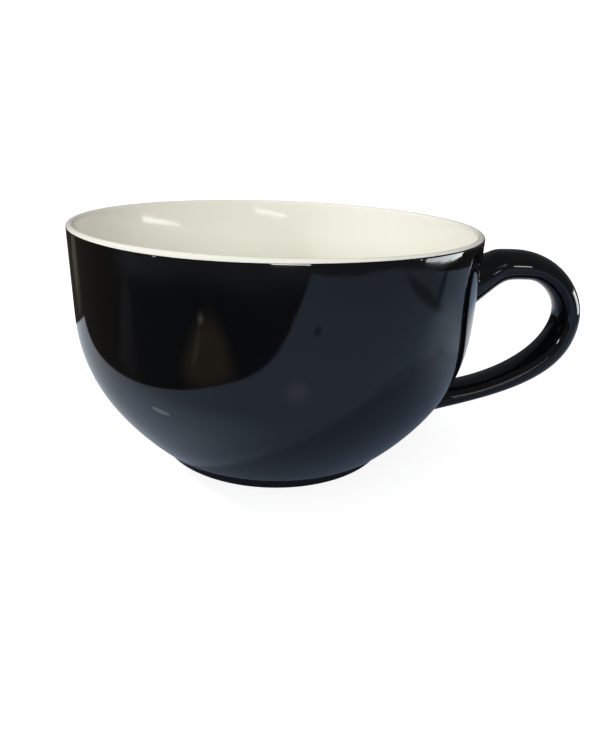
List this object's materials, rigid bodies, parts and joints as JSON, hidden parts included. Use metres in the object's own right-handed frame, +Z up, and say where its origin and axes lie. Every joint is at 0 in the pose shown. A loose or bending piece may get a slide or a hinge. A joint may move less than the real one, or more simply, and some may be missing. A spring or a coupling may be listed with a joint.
{
  "type": "cappuccino cup",
  "caption": "Wide round glazed cup on a low foot ring, with a loop handle, for milky coffee.",
  "frame": {"origin": "on the table, on the axis of the bowl", "axes": "+Z up along the axis of the bowl, +X from the bowl towards the handle, with the handle's loop in the XZ plane"},
  "size_m": [0.1439, 0.11, 0.0644],
  "materials": {
    "bare_clay": "matt fired stoneware",
    "slip": "matt fired slip",
    "cream_glaze": "gloss",
    "black_glaze": "gloss"
  },
  "bodies": {
    "root": {"bowl": "bare_clay", "foot_ring": "bare_clay", "handle": "bare_clay", "upper_handle_joint": "slip", "lower_handle_joint": "slip", "inner_glaze": "cream_glaze", "outer_glaze": "black_glaze", "handle_glaze": "black_glaze", "base_glaze": "black_glaze"}
  },
  "joints": []
}
